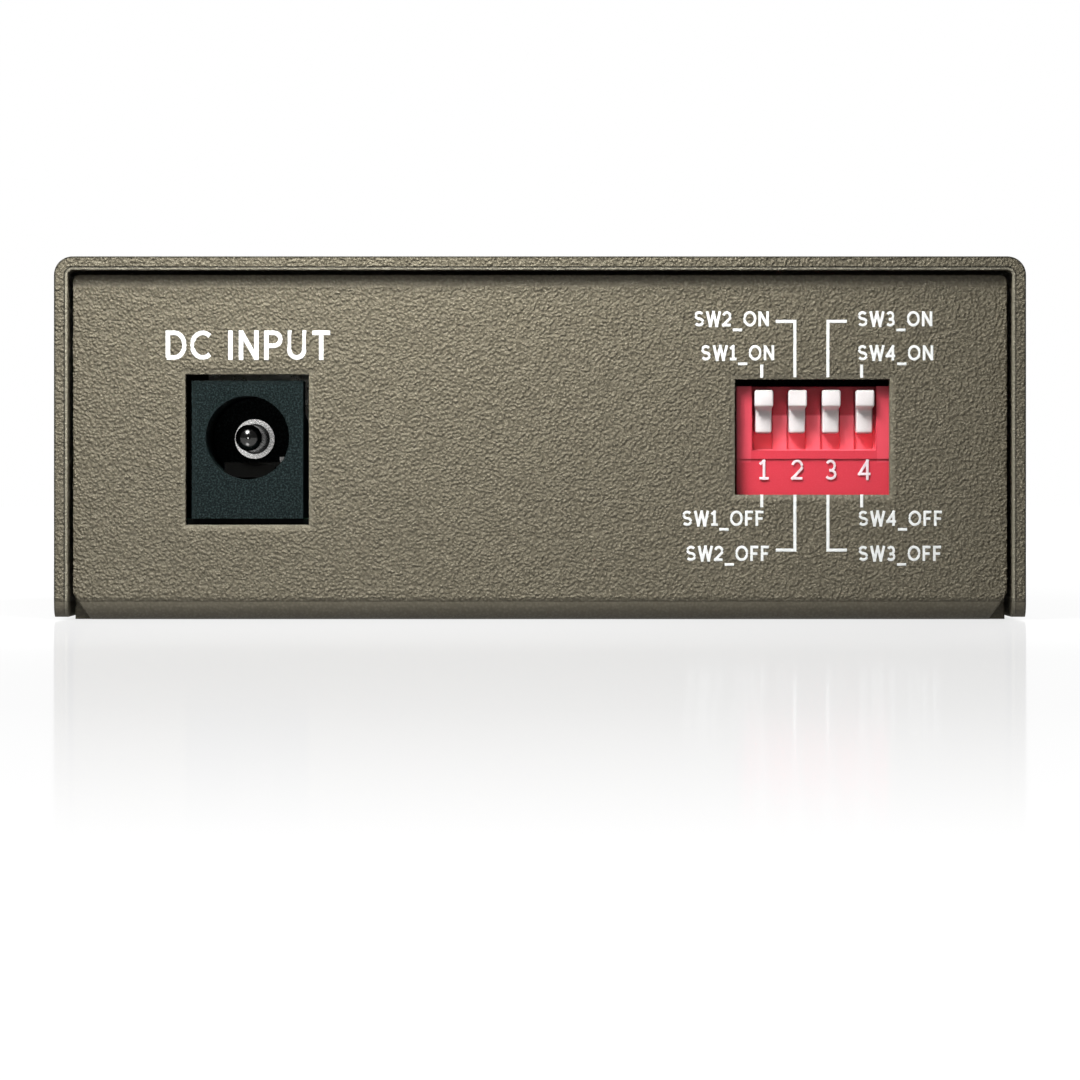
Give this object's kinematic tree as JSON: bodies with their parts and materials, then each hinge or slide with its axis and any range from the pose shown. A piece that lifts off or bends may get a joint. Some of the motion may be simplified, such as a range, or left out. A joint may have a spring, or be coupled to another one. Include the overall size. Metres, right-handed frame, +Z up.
{
  "type": "fibre media converter",
  "caption": "Small folded-steel fibre media converter with a power socket and a four-way option switch at the rear, and a copper port, a two-fibre transceiver and six lamps at the front.",
  "frame": {"origin": "middle of the underside of the case", "axes": "+Z up, -Y out of the rear panel with the power socket, +Y out of the port panel"},
  "size_m": [0.073, 0.0944, 0.0273],
  "materials": {
    "taupe_powder_coat": "textured",
    "zinc_steel": "satin",
    "nickel_steel": "satin",
    "tinned_metal": "satin",
    "nickel_brass": "polished",
    "gold_contacts": "polished",
    "green_laminate": "satin",
    "black_plastic": "matte",
    "red_plastic": "satin",
    "white_plastic": "satin",
    "blue_plastic": "satin",
    "chip_package": "matte",
    "white_ceramic": "polished",
    "tan_ceramic": "satin",
    "grey_ferrite": "matte",
    "can_aluminium": "satin",
    "lamp_lens": "polished"
  },
  "bodies": {
    "case": {"board_rests": "zinc_steel", "board_screws": "zinc_steel", "board_standoffs": "zinc_steel", "bottom_tray": "taupe_powder_coat", "bulk_capacitor": "can_aluminium", "chip_capacitors": "tan_ceramic", "chip_resistors": "grey_ferrite", "circuit_board": "green_laminate", "converter_chip": "chip_package", "converter_chip_leads": "tinned_metal", "copper_port_contacts": "gold_contacts", "copper_port_housing": "black_plastic", "copper_port_insert": "black_plastic", "copper_port_shield": "nickel_steel", "cover_screws": "zinc_steel", "crystal": "nickel_steel", "input_diode": "chip_package", "isolation_transformer": "chip_package", "isolation_transformer_leads": "tinned_metal", "jack_centre_pin": "nickel_brass", "jack_housing": "black_plastic", "jack_pin_tail": "tinned_metal", "jack_sleeve_spring": "tinned_metal", "jack_switch_contact": "tinned_metal", "lamp_1": "lamp_lens", "lamp_2": "lamp_lens", "lamp_3": "lamp_lens", "lamp_4": "lamp_lens", "lamp_5": "lamp_lens", "lamp_6": "lamp_lens", "lamp_holder_1": "black_plastic", "lamp_holder_2": "black_plastic", "lamp_leads": "tinned_metal", "laser_can": "nickel_steel", "memory_chip": "chip_package", "memory_chip_leads": "tinned_metal", "photodiode_can": "nickel_steel", "power_inductor": "grey_ferrite", "receive_latch": "blue_plastic", "receive_sleeve": "white_ceramic", "switch_base_plate": "black_plastic", "switch_housing": "red_plastic", "switch_terminals": "tinned_metal", "top_cover": "taupe_powder_coat", "transceiver_base": "black_plastic", "transceiver_board": "green_laminate", "transceiver_housing": "black_plastic", "transceiver_pins": "tinned_metal", "transmit_latch": "blue_plastic", "transmit_sleeve": "white_ceramic", "voltage_regulator": "chip_package"},
    "slider_1": {"switch_slider_1": "white_plastic", "switch_wiper_1": "nickel_brass"},
    "slider_2": {"switch_slider_2": "white_plastic", "switch_wiper_2": "nickel_brass"},
    "slider_3": {"switch_slider_3": "white_plastic", "switch_wiper_3": "nickel_brass"},
    "slider_4": {"switch_slider_4": "white_plastic", "switch_wiper_4": "nickel_brass"}
  },
  "joints": [
    {"name": "slider_1_travel", "type": "slide", "parent": "case", "child": "slider_1", "axis": [0, 0, -1], "range_m": [0, 0.0012]},
    {"name": "slider_2_travel", "type": "slide", "parent": "case", "child": "slider_2", "axis": [0, 0, -1], "range_m": [0, 0.0012]},
    {"name": "slider_3_travel", "type": "slide", "parent": "case", "child": "slider_3", "axis": [0, 0, -1], "range_m": [0, 0.0012]},
    {"name": "slider_4_travel", "type": "slide", "parent": "case", "child": "slider_4", "axis": [0, 0, -1], "range_m": [0, 0.0012]}
  ]
}
